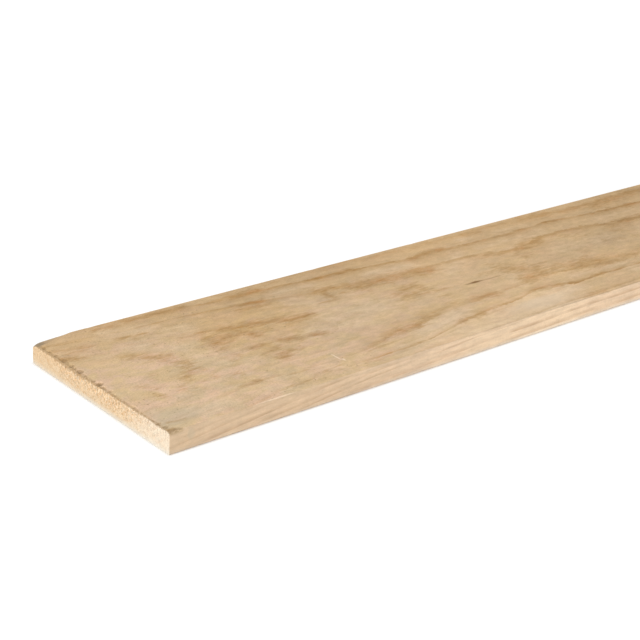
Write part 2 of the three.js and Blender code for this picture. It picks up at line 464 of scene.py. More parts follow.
def stations():
    """Distances of the rings from the skip end: half a millimetre apart at the end and further
    apart by a steady ratio, then evenly spaced, and closer again at the other end."""
    opening = END_EASE + growing_steps(*OPENING_STEPS)
    closing = LENGTH - END_EASE - growing_steps(*CLOSING_STEPS)[::-1]
    drawn = np.arange(opening[-1] + DRAWN_STEP, DRAWN_REACH, DRAWN_STEP)
    rest = np.arange(drawn[-1] + PLAIN_STEP, closing[0] - PLAIN_STEP / 2, PLAIN_STEP)
    return np.concatenate([[END_EASE], opening, drawn, rest, closing, [LENGTH - END_EASE]])


def path_over_ends(distance):
    """The loft's path: how far along each ring lies, and how far it is shrunk towards the
    section's middle line. It starts on the middle line of one end, spreads out over the end,
    turns over a small round, runs along the plank, and closes the other end in the same way."""
    share = 1 - np.linspace(0, 1, END_RINGS + 1)[:-1]
    edge = END_EASE / (THICKNESS / 2)
    turn = np.linspace(0, math.pi / 2, RIM_SPANS + 1)[1:-1]
    shrink_in = np.concatenate([edge + share * (1 - edge), [edge], edge * (1 - np.sin(turn))])
    along_in = np.concatenate([np.zeros(END_RINGS + 1), END_EASE * (1 - np.cos(turn))])
    along = np.concatenate([along_in, distance, LENGTH - along_in[::-1]])
    shrink = np.concatenate([shrink_in, 0 * distance, shrink_in[::-1]])
    return along, shrink


# ---------------------------------------------------------------- relief
# Noise, each given as how far it goes, its pitch along, across and up, and its seed: the
# planed faces' unevenness, the arrises' waves and dents, and the skip's two roughnesses.
PLANED = (0.03, (60, 24, 24), 11)
WAVES = (0.05, (70, 300, 300), 13)
DENTS = (0.6, (9, 40, 40), 12)
ROUGH = (0.10, (2.4, 1.8, 1.8), 14)
LUMPY = (0.14, (9, 5, 5), 15)
# Dents start where the noise rises past this, and fade in over these heights. They and the
# waves reach this far from an arris.
DENT_START = 0.45
DENT_HEIGHTS = (6.0, 12.0)
ARRIS_REACH = 2.2
# The sawn faces' scores where the teeth ran, torn fibre between them and slow wave, and what
# each end adds to the seeds.
SAW_MARKS = ((0.08, (9, 1.6, 30), 0), (0.12, (9, 1.5, 1.1), 1), (0.06, (9, 26, 14), 2))
END_SEEDS = (21, 31)
# How far in from the ends the sides give way to the set-back of the sawn face.
END_BLEND = 3.0
# The ragged rounding of the ends' upper arrises: its depth across the plank as points of y
# and depth, how far in from the end it dies out, how roundly, and the noise that it varies by.
TORN_DEPTH = ((0, 0.5), (40, 0.8), (120, 1.2), (170, 0.9), (190, 0.5))
TORN_REACH = 3.4
TORN_POWER = 1.6
TORN_NOISE = ((0.7, (40, 2.2, 40), 16), (0.45, (40, 9.0, 40), 17))
# How roundly a chip deepens, and the depths below the upper face over which torn wood ends.
CHIP_POWER = 0.6
TORN_FADE = (1.5, 3.5)
# Torn wood shows fully from the first depth on, its brown partly painted shade, and painted shade
# darkens it in pits between the other two.
TORN_SHOWS = 0.5
PIT_SHADE_SHOWS = (0.9, 1.8)
# The skip's rough surface and its painted shade fade in over this width and this height, and
# fade out over this share of its run.
SKIP_BLEND = (3.0, 0.6)
SKIP_TAIL = 0.3
# Chips broken out of the skip end's upper arris: y, half width, reach along, depth.
CHIPS = (
    (1.0, 4.0, 14.0, 0.7), (8.5, 3.0, 6.0, 1.3), (16.0, 2.5, 4.5, 1.1),
    (22.0, 3.0, 2.6, 0.6), (36.0, 2.5, 2.4, 0.6), (47.0, 3.5, 3.2, 0.9),
    (60.0, 2.5, 2.4, 0.7), (72.0, 2.5, 2.8, 0.9), (80.0, 2.5, 4.0, 1.4),
    (88.0, 3.0, 3.4, 1.2), (95.0, 3.5, 6.0, 1.7), (102.0, 2.5, 3.4, 1.2),
    (113.0, 3.0, 2.8, 0.9), (122.0, 3.5, 5.5, 1.7), (129.0, 2.5, 3.6, 1.3),
    (134.0, 2.5, 5.5, 1.7), (141.0, 3.0, 4.0, 1.2), (146.0, 3.5, 6.0, 1.8),
    (157.0, 3.5, 4.0, 1.3), (166.0, 3.0, 3.0, 0.9), (175.0, 3.5, 3.4, 1.0),
)


def torn_depth(points):
    """How much wood is torn away along the ends' upper arrises: a ragged rounding that dies
    out within its reach, and at the skip end the chips, each a rounded pit."""
    x, y = points[..., 0], points[..., 1]
    from_end = np.minimum(x, LENGTH - x)
    wild = math.prod(1 + lattice_noise(points, *kind) for kind in TORN_NOISE)
    across = np.interp(y, *zip(*TORN_DEPTH))
    depth = across * wild * np.clip(1 - from_end / TORN_REACH, 0, 1) ** TORN_POWER
    for place, half, along, deep in CHIPS:
        far = ((y - place) / half) ** 2 + (x / along) ** 2
        depth = np.maximum(depth, deep * wild * np.clip(1 - far, 0, 1) ** CHIP_POWER)
    return np.maximum(depth, 0) * np.interp(THICKNESS - points[..., 2], TORN_FADE, (1, 0))


def skip_share(points):
    """1 on the skip's surface and 0 on planed wood: within its width, short of its run."""
    spread = taper(points[..., 0], SKIP_RUN * 1.1, 1)
    across, up = SKIP_BLEND
    inside = smooth_step(points[..., 1] - (WIDTH - SKIP_WIDTH * spread), 0.0, across)
    lowest = THICKNESS - SKIP_DEPTH - KNOCK_DEPTH
    high = smooth_step(points[..., 2], lowest - up, lowest)
    return inside * high * smooth_step(spread, 0.0, SKIP_TAIL)


def arris_share(points):
    """1 on the long arrises and 0 away from them, from the distance to the nearest one."""
    to_edge = np.minimum(points[..., 1], WIDTH - points[..., 1])
    to_face = np.minimum(points[..., 2], THICKNESS - points[..., 2])
    return np.clip(1 - np.hypot(to_edge, to_face) / ARRIS_REACH, 0, 1)


def wood_taken(points):
    """Depth of wood that is missing from the loft's sides, in millimetres: a slight unevenness
    of the planed faces, dents and waves along the arrises, the rough skip and the torn end
    arrises. A bump goes from nothing to twice its depth, which is the depth plus its noise."""
    planed, waves, rough, lumpy = (
        kind[0] + lattice_noise(points, *kind) for kind in (PLANED, WAVES, ROUGH, LUMPY))
    dents = np.maximum(lattice_noise(points, *DENTS) - DENT_START * DENTS[0], 0)
    dents = dents * smooth_step(points[..., 2], *DENT_HEIGHTS)
    return (FACE_SET_BACK + planed + arris_share(points) * (dents + waves)
            + skip_share(points) * (rough + lumpy) + torn_depth(points))


def end_set_back(points, seed):
    """Depth of wood that the saw left short at an end: the set-back plus the saw's marks."""
    flat_points = points * np.array([0.0, 1.0, 1.0])
    return END_SET_BACK + sum(
        lattice_noise(flat_points, depth, pitch, seed + step)
        for depth, pitch, step in SAW_MARKS)


def plank_points():
    """The plank's surface as a grid of rings by points round each ring, in millimetres."""
    along, shrink = path_over_ends(stations())
    ring = sections(along)
    x = np.repeat(along[:, None], ring.shape[1], 1)
    points = np.concatenate([x[..., None], ring], -1)
    across = np.broadcast_to(middle_line(), x.shape)
    middle = np.stack([x, across, np.full(x.shape, THICKNESS / 2)], -1)
    on_end = shrink[:, None] > 0
    taken = wood_taken(points) / (THICKNESS / 2)
    share = shrink[:, None] + taken * (1 - shrink[:, None])
    points = points + (middle - points) * share[..., None]
    at_skip_end = x < LENGTH / 2
    ends = [end_set_back(points, seed) for seed in END_SEEDS]
    from_end = np.minimum(x, LENGTH - x) - END_EASE
    sides = END_SET_BACK * np.clip(1 - from_end / END_BLEND, 0, 1)
    inward = np.where(on_end, np.where(at_skip_end, *ends), sides)
    points[..., 0] += np.where(at_skip_end, inward, -inward)
    return points, shrink


# ---------------------------------------------------------------- meshes
def loft_faces(rings, count):
    """Quads between neighbouring rings of a grid that closes on itself round the section."""
    ring, k = np.meshgrid(np.arange(rings - 1), np.arange(count), indexing="ij")
    after = (k + 1) % count
    corners = [ring * count + k, ring * count + after,
               (ring + 1) * count + after, (ring + 1) * count + k]
    return np.stack(corners, -1).reshape(-1, 4)


def wood_attributes(points):
    """The values at each point that the wood's figure and finish are drawn from."""
    radii, boldness = np.array(RINGS).T
    phase = np.interp(growth_radius(points), radii, np.arange(len(radii)))
    upper_face = 1 - smooth_step(THICKNESS - points[..., 2], *FACE_BLEND)
    ring = np.clip(np.ceil(phase - RING_TAIL), 0, len(radii) - 1).astype(int)
    on_face = 1 + (FACE_BOLDNESS - 1) * upper_face
    to_edge = np.minimum(points[..., 1], WIDTH - points[..., 1])
    edge = 1 - smooth_step(to_edge, *EDGE_BLEND)
    on_edge = 1 + (EDGE_BOLDNESS * smooth_step(points[..., 0], *EDGE_START) - 1) * edge
    values = {
        "growth": phase,
        "boldness": boldness[ring] * on_face * on_edge,
        "edge": edge,
        "blotch": patch_share(BLOTCHES, points) * upper_face,
        "pale": patch_share(PALE_PLACES, points),
        "tone": tone_change(points) * upper_face,
        "painted_skip_shade": skip_share(points),
        "torn": np.clip(torn_depth(points) / TORN_SHOWS, 0, 1),
        "pit_shade": smooth_step(torn_depth(points), *PIT_SHADE_SHOWS),
    }
    for name, _, near, far in BOLD_RINGS:
        depth, bold = ring_band(near, far, points)
        values[name + "_depth"] = depth
        values[name + "_bold"] = bold * upper_face
    return values


def lay_out(corners):
    """A flat layout of the faces on a square sheet, for textures baked later: every face is
    laid along the axis it faces most. The long faces and edges are cut in two at mid length
    and stacked, and the two ends lie side by side above them."""
    normal = np.cross(corners[:, 2] - corners[:, 0], corners[:, 3] - corners[:, 1])
    facing = np.abs(normal).argmax(1)[:, None]
    ahead = (np.take_along_axis(normal, facing, 1) > 0).astype(int)
    second_half = (corners[..., 0].mean(1, keepdims=True) > LENGTH / 2).astype(int)
    row = 2 * ahead + second_half
    face_step, edge_step = WIDTH + SHEET_GAP, THICKNESS + SHEET_GAP
    x, y, z = corners[..., 0], corners[..., 1], corners[..., 2]
    u = np.where(facing == 0, y + ahead * face_step, x - second_half * LENGTH / 2)
    v = np.where(facing == 1, z + 4 * face_step + row * edge_step, y + row * face_step)
    v = np.where(facing == 0, z + 4 * face_step + 4 * edge_step, v)
    place = np.stack([u + 2.5 * SHEET_GAP, v + SHEET_GAP / 2], -1)
    return place / (LENGTH / 2 + 5 * SHEET_GAP)


def plank_mesh():
    """The closed mesh of the plank, carrying the values that its finish is drawn from, with a
    second material on the ends."""
    points, shrink = plank_points()
    rings, count = points.shape[:2]
    faces = loft_faces(rings, count)
    mesh = bpy.data.meshes.new("plank_wood")
    flat_points = points.reshape(-1, 3)
    mesh.from_pydata(((flat_points + CORNER) * MM).tolist(), [], faces.tolist())
    for name, values in wood_attributes(flat_points).items():
        layer = mesh.attributes.new(name, "FLOAT", "POINT")
        layer.data.foreach_set("value", values.astype(np.float32))
    sheet = mesh.uv_layers.new(name="OFBake")
    sheet.uv.foreach_set("vector", lay_out(flat_points[faces]).ravel().astype(np.float32))
    on_end = (shrink[:-1] + shrink[1:]) > 0
    mesh.polygons.foreach_set("material_index", np.repeat(on_end, count).astype(np.int32))
    close = bmesh.new()
    close.from_mesh(mesh)
    bmesh.ops.remove_doubles(close, verts=close.verts, dist=1e-7)
    close.to_mesh(mesh)
    close.free()
    mesh.validate()
    mesh.shade_smooth()
    mesh.set_sharp_from_angle(angle=math.radians(SHARP_ANGLE))
    return mesh


# ---------------------------------------------------------------- shader tools
class Nodes:
    """Adds nodes to one tree. A value handed in is a socket to wire or a constant to set."""

    def __init__(self, tree):
        self.tree = tree

    def add(self, kind, inputs=None, **settings):
        """A node of one kind, with its settings and its inputs by name or number."""
        node = self.tree.nodes.new(kind)
        for name, value in settings.items():
            setattr(node, name, value)
        for name, value in (inputs or {}).items():
            self.feed(node.inputs[name], value)
        return node

    def feed(self, socket, value):
        """Wires a value to a socket, or sets it there."""
        if isinstance(value, bpy.types.NodeSocket):
            self.tree.links.new(value, socket)
        else:
            socket.default_value = value

    def math(self, operation, *values):
        """One step of arithmetic on one to three numbers."""
        node = self.add("ShaderNodeMath", dict(enumerate(values)), operation=operation)
        return node.outputs[0]

    def times(self, one, other):
        """one * other"""
        return self.math("MULTIPLY", one, other)

    def line(self, value, slope, start):
        """start + slope * value"""
        return self.math("MULTIPLY_ADD", value, slope, start)

    def swing(self, value, amount, base=0.0):
        """base + amount * (value - 0.5), for noise, which lies round a half."""
        return self.line(self.math("SUBTRACT", value, 0.5), amount, base)

    def vector(self, operation, *values):
        """One step of arithmetic on one or two vectors."""
        node = self.add("ShaderNodeVectorMath", dict(enumerate(values)), operation=operation)
        return node.outputs["Value" if operation == "LENGTH" else "Vector"]

    def noise(self, place, factors, detail=2.0, roughness=0.5, distortion=0.0):
        """Noise from 0 to 1. The factors are its cells per millimetre along each axis."""
        node = self.add("ShaderNodeTexNoise", {
            "Vector": self.vector("MULTIPLY", place, factors), "Scale": 1.0, "Detail": detail,
            "Roughness": roughness, "Distortion": distortion})
        return node.outputs["Fac"]

    def span(self, value, low, high, out_low=0.0, out_high=1.0, smooth=True):
        """Carries low to out_low and high to out_high, held beyond them, and eased or straight
        in between."""
        node = self.add("ShaderNodeMapRange", {
            "Value": value, "From Min": low, "From Max": high,
            "To Min": out_low, "To Max": out_high},
            interpolation_type="SMOOTHSTEP" if smooth else "LINEAR")
        return node.outputs["Result"]

    def mix(self, share, one, other, blend="MIX"):
        """One colour with a share of the other."""
        node = self.add("ShaderNodeMix", data_type="RGBA", blend_type=blend)
        for number, value in ((0, share), (6, one), (7, other)):
            self.feed(node.inputs[number], value)
        return node.outputs[2]

    def tint(self, base, share, strength, paint):
        """A colour painted over where the share says, at a given strength."""
        return self.mix(self.times(share, strength), base, paint)

    def shaded(self, base, shade):
        """A colour times a grey of the given lightness."""
        grey = self.add("ShaderNodeCombineColor", {0: shade, 1: shade, 2: shade}).outputs[0]
        return self.mix(1.0, base, grey, "MULTIPLY")


FLOAT, VECTOR = "NodeSocketFloat", "NodeSocketVector"


def new_group(name, inputs, outputs):
    """A shader node group with named sockets. Returns it, its nodes, what comes in and what
    goes out."""
    tree = bpy.data.node_groups.new(name, "ShaderNodeTree")
    for socket, kind, value in inputs:
        made = tree.interface.new_socket(name=socket, in_out="INPUT", socket_type=kind)
        if value is not None:
            made.default_value = value
    for socket in outputs:
        tree.interface.new_socket(name=socket, in_out="OUTPUT", socket_type=FLOAT)
    nodes = Nodes(tree)
    return tree, nodes, nodes.add("NodeGroupInput").outputs, nodes.add("NodeGroupOutput").inputs


def growth_group():
    """Latewood from the growth phase: the phase is shaken a little, and each whole number is a
    ring's end, so the band darkens slowly before it and stops sharply after it."""
    tree, nodes, given, made = new_group("growth rings", [
        ("Growth", FLOAT, 0.0), ("Boldness", FLOAT, 1.0), ("Position", VECTOR, None),
        ("Shake", FLOAT, 0.3)], ["Latewood"])
    place = given["Position"]
    slow = nodes.noise(place, (0.016, 0.05, 0.05), 3.0, 0.55)
    fine = nodes.noise(place, (0.07, 0.5, 0.5), 3.0, 0.6)
    shake = nodes.swing(slow, 1.0, base=nodes.swing(fine, 0.35))
    season = nodes.math("FRACT", nodes.line(shake, given["Shake"], given["Growth"]))
    band = nodes.times(nodes.span(season, 0.35, 0.92), nodes.span(season, 0.95, 1.0, 1.0, 0.0))
    patchy = nodes.noise(place, (0.022, 0.09, 0.09), 3.0, 0.6)
    band = nodes.times(band, nodes.span(patchy, 0.34, 0.62, 0.15, 1.0))
    nodes.feed(made["Latewood"], nodes.times(band, given["Boldness"]))
    return tree


def band_group():
    """One bold ring on a face sawn nearly along it: crisp at its outer edge, darkest over the
    band's width and fading away inwards. Noise shakes its edge and breaks it into patches."""
    tree, nodes, given, made = new_group("ring band", [
        ("Depth", FLOAT, -1.0), ("Boldness", FLOAT, 1.0), ("Position", VECTOR, None)],
        ["Latewood"])
    place = given["Position"]
    slow = nodes.noise(place, (0.05, 0.12, 0.12), 3.0, 0.6)
    fine = nodes.noise(place, (0.22, 0.6, 0.6), 3.0, 0.7)
    depth = nodes.swing(slow, 1.2, base=nodes.swing(fine, 1.1, base=given["Depth"]))
    core = nodes.times(nodes.span(depth, -0.08, 0.20), nodes.span(depth, 0.35, 1.3, 1.0, 0.30))
    band = nodes.times(core, nodes.span(depth, 1.2, 2.8, 1.0, 0.0))
    patchy = nodes.noise(place, (0.05, 0.14, 0.14), 4.0, 0.7)
    band = nodes.times(band, nodes.span(patchy, 0.36, 0.58, 0.45, 1.1))
    nodes.feed(made["Latewood"], nodes.times(band, given["Boldness"]))
    return tree


def fibre_group():
    """Fibre along the grain: long soft streaks, fine hair-like streaks, fuzz raised by the
    planer, and the short dark dashes of cut resin canals."""
    tree, nodes, given, made = new_group("fibre", [("Position", VECTOR, None)], [
        "Streak", "Hair", "Fuzz", "Canals", "Relief"])
    place = given["Position"]
    streak = nodes.noise(place, (0.03, 0.26, 0.26), 3.0, 0.6, 0.2)
    hair = nodes.noise(place, (0.14, 1.2, 1.2), 3.0, 0.65, 0.1)
    fuzz = nodes.noise(place, (0.50, 0.85, 0.85), 4.0, 0.75)
    cells = nodes.noise(place, (0.16, 1.9, 1.9), 1.0, 0.4)
    sparse = nodes.noise(place, (0.02, 0.06, 0.06), 2.0, 0.5)
    canals = nodes.span(nodes.line(sparse, 0.35, cells), 0.92, 1.01)
    relief = nodes.line(canals, -0.8, nodes.line(streak, 0.5, nodes.line(fuzz, 0.6, hair)))
    for name, value in (("Streak", streak), ("Hair", hair), ("Fuzz", fuzz),
                        ("Canals", canals), ("Relief", relief)):
        nodes.feed(made[name], value)
    return tree


# Slow changes of tone: name, cells per millimetre along the grain and across it, detail,
# roughness.
CLOUDS = (
    ("Warmth", 0.040, 0.062, 4.0, 0.58),
    ("Greyness", 0.035, 0.055, 3.0, 0.55),
    ("Cloud", 0.022, 0.045, 3.0, 0.6),
    ("Mottle", 0.080, 0.15, 4.0, 0.66),
)


def tone_group():
    """Slow changes of tone over the wood: warm and straw-coloured clouds, greyish ones, light
    and dark ones, and smaller mottled patches. Each is taken from its own part of the noise."""
    tree, nodes, given, made = new_group("tone", [("Position", VECTOR, None)],
                                         [name for name, *_ in CLOUDS])
    for name, along, across, detail, roughness in CLOUDS:
        step = (500.0 * len(name), 0.0, 70.0 * len(name))
        place = nodes.vector("ADD", given["Position"], step)
        cloud = nodes.noise(place, (along, across, across), detail, roughness, 0.4)
        nodes.feed(made[name], cloud)
    return tree


def spot_group():
    """A mark on the wood: 1 at its centre, 0 past its reach, with a ragged rim."""
    tree, nodes, given, made = new_group("spot", [
        ("Position", VECTOR, None), ("Centre", VECTOR, None), ("Reach", VECTOR, (10, 10, 10)),
        ("Rag", FLOAT, 0.3)], ["Mask"])
    away = nodes.vector("SUBTRACT", given["Position"], given["Centre"])
    away = nodes.vector("LENGTH", nodes.vector("DIVIDE", away, given["Reach"]))
    ragged = nodes.noise(given["Position"], (0.25, 0.6, 0.6), 3.0, 0.6)
    away = nodes.swing(ragged, given["Rag"], base=away)
    nodes.feed(made["Mask"], nodes.span(away, 0.35, 1.0, 1.0, 0.0))
    return tree


GROUPS = {"growth": growth_group(), "band": band_group(), "fibre": fibre_group(),
          "tone": tone_group(), "spot": spot_group()}


def place_group(nodes, name, place, **inputs):
    """One use of a group in a material, with its position and its other inputs."""
    node = nodes.add("ShaderNodeGroup", node_tree=GROUPS[name])
    for socket, value in {"Position": place, **inputs}.items():
        nodes.feed(node.inputs[socket], value)
    return node.outputs


def attribute(nodes, name):
    """One of the values that the mesh carries at its points."""
    return nodes.add("ShaderNodeAttribute", attribute_name=name).outputs["Fac"]


def start_material(name):
    """A new material, its nodes, positions in millimetres from the plank's corner, and the
    position's x, y and z."""
    material = bpy.data.materials.new(name)
    material.use_nodes = True
    nodes = Nodes(material.node_tree)
    coordinates = nodes.add("ShaderNodeTexCoord").outputs["Object"]
    place = nodes.vector("MULTIPLY", coordinates, (1 / MM,) * 3)
    place = nodes.vector("ADD", place, tuple(-CORNER))
    return material, nodes, place, nodes.add("ShaderNodeSeparateXYZ", {0: place}).outputs


def wire_shader(nodes, base, roughness, shine, height, strength, depth):
    """Wires a finish to its material's shader: colour, roughness, shine, and a fine relief
    from a height, how strongly it shows and how deep it goes in millimetres."""
    bump = nodes.add("ShaderNodeBump", {
        "Height": height, "Strength": strength, "Distance": depth * MM})
    inputs = nodes.tree.nodes["Principled BSDF"].inputs
    for name, value in (("Base Color", base), ("Roughness", roughness),
                        ("Specular IOR Level", shine), ("Normal", bump.outputs["Normal"])):
        nodes.feed(inputs[name], value)


# ---------------------------------------------------------------- finishes
def colour(red, green, blue):
    """A colour given as it looks on a screen, from 0 to 255, as linear light."""
    shown = np.array([red, green, blue]) / 255
    linear = np.where(shown > 0.04045, ((shown + 0.055) / 1.055) ** 2.4, shown / 12.92)
    return (*linear.tolist(), 1.0)


EARLYWOOD_PINK = colour(221, 188, 157)
EARLYWOOD_STRAW = colour(215, 186, 143)
EARLYWOOD_GREY = colour(210, 187, 153)
EARLYWOOD_PALE = colour(226, 200, 167)
EARLYWOOD_DEEP = colour(215, 182, 137)
FAR_SIDE_WOOD = colour(203, 170, 126)
EDGE_WOOD = colour(215, 189, 160)
EDGE_WOOD_NEAR = colour(211, 184, 152)
EDGE_LATEWOOD = colour(173, 138, 104)
# Pale grey painted low on the edges and ends: painted light from the white floor, and painted
# shade where the plank meets it.
FLOOR_LIGHT_AND_SHADE = colour(213, 209, 197)
LATEWOOD_BROWN = colour(176, 134, 77)
LATEWOOD_ORANGE = colour(191, 140, 83)
CANAL = colour(150, 118, 82)
RESIN = colour(128, 90, 42)
SCRATCH = colour(246, 222, 194)
GREY_STAIN = colour(180, 170, 146)
GOLDEN = colour(204, 163, 100)
PALE_WOOD = colour(227, 205, 178)
END_WOOD = colour(207, 184, 152)
END_ORANGE = colour(213, 176, 130)
END_PALE = colour(219, 204, 182)
END_SPECK = colour(184, 132, 82)
# Painted shade in the pits of the chips.
PIT_SHADE = colour(112, 91, 62)
# Grey-brown painted on the skip: painted shade of its surface, which turns away from the light.
SKIP_SHADE = colour(138, 122, 98)
# Torn fibre's brown, darkened with painted shade of the tear-out.
TORN_WOOD_AND_SHADE = colour(148, 120, 84)

# Marks on the planed wood: centre, reach, rag of the rim, strength, colour.
GOLDEN_PLACE = ((166, 116, 19), (84, 66, 6), 0.8, 0.30, GOLDEN)
MARKS = (
    # Two streaks of resin and the thin tail behind them.
    ((401, 84, 19), (16, 2.4, 3), 0.8, 0.55, RESIN),
    ((402, 84, 19), (7.5, 2.3, 3), 0.5, 0.72, RESIN),
    ((422, 83, 19), (24, 1.4, 3), 0.6, 0.36, RESIN),
    # Two pale scratches.
    ((187, 31, 19), (0.9, 9, 3), 0.5, 0.8, SCRATCH),
    ((189, 24, 19), (1.4, 3, 3), 0.4, 0.8, SCRATCH),
    # A pale stretch of the near arris, and a pale place beside it further along.
    ((102, 0.2, 18.8), (24, 1.1, 1.0), 0.6, 0.52, SCRATCH),
    ((418, 17, 19), (54, 13, 4), 0.8, 0.4, PALE_WOOD),
    # A grey stain near the corner, and a grey patch on the edge below it.
    ((14, 18, 19), (34, 20, 4), 0.6, 0.36, GREY_STAIN),
    ((20, 0, 12), (5, 6, 7), 0.6, 0.3, GREY_STAIN),
)
# Changes over the planed wood: along x, y or z, where a change starts and ends, and the
# values before and after it. False stands for a straight change, not an eased one.
X, Y, Z = 0, 1, 2
CHANGES = {
    # Deeper wood along the plank and towards the far side.
    "deeper along": (X, 0.0, 560.0),
    "deeper across": (Y, 95.0, 185.0),
    # The colour of the edges, and how strongly pale grey is painted low on them, as painted floor
    # light and contact shade.
    "edge colour": (X, 120.0, 290.0),
    "floor_light_and_shade": (Z, 0.5, 4.0, 0.45, 0.0),
    "foot along": (X, 100.0, 420.0, 0.45, 1.0),
    # The strip along the upper arrises: its reach, its height, and how much darker the near one
    # is.
    "arris strip reach": (X, 300.0, 500.0, 1.3, 1.8),
    "arris strip height": (Z, THICKNESS - 1.1, THICKNESS - 0.2),
    "near arris darkening": (X, 60.0, 480.0, -0.03, -0.22, False),
    "far side": (Y, 60.0, 120.0),
    # How strongly mottling, fine grain, specks and the skip's painted shade show.
    "mottling": (X, 120.0, 300.0, 0.56, 0.46),
    "end mottling": (X, 60.0, 130.0, 0.74, 1.0),
    "grain": (X, 90.0, 260.0, 0.48, 0.06),
    "specks": (X, 120.0, 360.0, 0.6, 0.15),
    "skip_shade_strength": (X, 4.0, 10.0, 0.80, 0.25),
}
# Painted highlight: how much lighter the far arris is than the wood beside it.
FAR_ARRIS_HIGHLIGHT = 0.35
# Changes across the sawn ends: the y where each starts and ends, and the values before and
# after it.
END_CHANGES = {
    "pale": (15.0, 70.0, 1.0, 0.0),
    "calm": (138.0, 165.0, 1.0, 0.3),
    # The pale grey painted low on the ends, as painted floor light and contact shade, across the
    # end.
    "floor_light_and_shade": (100.0, 130.0, 1.0, 0.7),
    # The torn rim: where it starts and ends, its extra depth, and its shift down the end.
    "rim start": (40.0, 60.0),
    "rim end": (146.0, 160.0, 1.0, 0.0),
    "rim depth": (100.0, 122.0, 0.8, 1.9),
    "rim shift": (88.0, 125.0, 0.0, 1.2),
}
# The depths below the upper face between which the torn rim of a sawn end fades away.
RIM_FADE = (0.9, 1.9)
# How strongly each layer of fibre shows on the upper face: its name, the x where its strength
# starts to change and where it ends, the two strengths, and what is added on the edges.
FIBRE_LAYERS = (
    ("Streak", 60.0, 160.0, 0.08, 0.16, 0.36),
    ("Hair", 60.0, 200.0, 0.04, 0.16, -0.06),
    ("Fuzz", 240.0, 440.0, 0.41, 0.48, -0.10),
)


def change_at(nodes, axes, name, shake=0.0):
    """The value of a change over the planed wood at each point, its place shaken by noise."""
    axis, *span = CHANGES[name]
    return nodes.span(nodes.math("ADD", axes[axis], shake), *span)


def painted_mark(nodes, base, place, mark):
    """A colour with one mark painted over it."""
    centre, reach, rag, strength, paint = mark
    mask = place_group(nodes, "spot", place, Centre=centre, Reach=reach, Rag=rag)["Mask"]
    return nodes.tint(base, mask, strength, paint)


def thin_rings(nodes, place, shake):
    """How dark with latewood the growth rings make each point."""
    return place_group(nodes, "growth", place, Growth=attribute(nodes, "growth"),
                       Boldness=attribute(nodes, "boldness"), Shake=shake)["Latewood"]


def latewood_share(nodes, place):
    """How dark with latewood each point is: the thin rings, the three bold ones and the
    blotches together. Noise eats into the blotches so that their edges run out in streaks."""
    total = thin_rings(nodes, place, nodes.line(attribute(nodes, "edge"), -0.45, 0.75))
    for name, *_ in BOLD_RINGS:
        band = place_group(nodes, "band", place, Depth=attribute(nodes, name + "_depth"),
                           Boldness=attribute(nodes, name + "_bold"))
        total = nodes.math("MAXIMUM", total, band["Latewood"])
    eaten = nodes.noise(place, (0.10, 0.36, 0.36), 4.0, 0.7)
    blotch = nodes.swing(eaten, 2.1, base=attribute(nodes, "blotch"))
    return nodes.math("MAXIMUM", total, nodes.span(blotch, 0.20, 1.20, smooth=False))


def pine_colour(nodes, place, axes, tone, late):
    """The colour of the planed wood: earlywood in clouds, deeper along the plank and towards
    the far side, with a golden place, the edges' own colour, pale places, the latewood, and a
    pale grey low on the edges, painted light from the white floor and painted contact shade."""
    on_edge = attribute(nodes, "edge")
    base = nodes.mix(nodes.span(tone["Warmth"], 0.38, 0.62), EARLYWOOD_STRAW, EARLYWOOD_PINK)
    base = nodes.tint(base, nodes.span(tone["Greyness"], 0.46, 0.66), 0.6, EARLYWOOD_GREY)
    along = change_at(nodes, axes, "deeper along", nodes.swing(tone["Cloud"], 300.0))
    base = nodes.tint(base, along, 0.75, EARLYWOOD_DEEP)
    across = change_at(nodes, axes, "deeper across", nodes.swing(tone["Cloud"], 60.0))
    base = nodes.tint(base, across, 0.75, FAR_SIDE_WOOD)
    base = painted_mark(nodes, base, place, GOLDEN_PLACE)
    edge_wood = nodes.mix(change_at(nodes, axes, "edge colour"), EDGE_WOOD_NEAR, EDGE_WOOD)
    base = nodes.tint(base, on_edge, 0.88, edge_wood)
    pale = nodes.swing(tone["Mottle"], 0.8, base=attribute(nodes, "pale"))
    base = nodes.mix(nodes.span(pale, 0.10, 0.90, 0.0, 0.65, smooth=False), base, EARLYWOOD_PALE)
    dark = nodes.mix(nodes.span(tone["Warmth"], 0.48, 0.72), LATEWOOD_BROWN, LATEWOOD_ORANGE)
    base = nodes.mix(late, base, nodes.mix(on_edge, dark, EDGE_LATEWOOD))
    # A pale grey painted low on the edges: painted light from the white floor, and painted shade
    # where the plank meets it.
    floor_light_and_shade = nodes.times(change_at(nodes, axes, "floor_light_and_shade"), on_edge)
    return nodes.tint(base, floor_light_and_shade, change_at(nodes, axes, "foot along"), FLOOR_LIGHT_AND_SHADE)


def dark_arris_and_highlight(nodes, axes):
    """How much lighter the upper arrises are than the wood beside them: a narrow strip, darker
    along the near edge and with a painted highlight along the far one."""
    to_edge = nodes.math("MINIMUM", axes[Y], nodes.math("SUBTRACT", WIDTH, axes[Y]))
    strip = nodes.span(to_edge, 0.2, change_at(nodes, axes, "arris strip reach"), 1.0, 0.0)
    strip = nodes.times(strip, change_at(nodes, axes, "arris strip height"))
    near = change_at(nodes, axes, "near arris darkening")
    lighter = nodes.span(change_at(nodes, axes, "far side"), 0.0, 1.0, near, FAR_ARRIS_HIGHLIGHT, False)
    return nodes.times(strip, lighter)


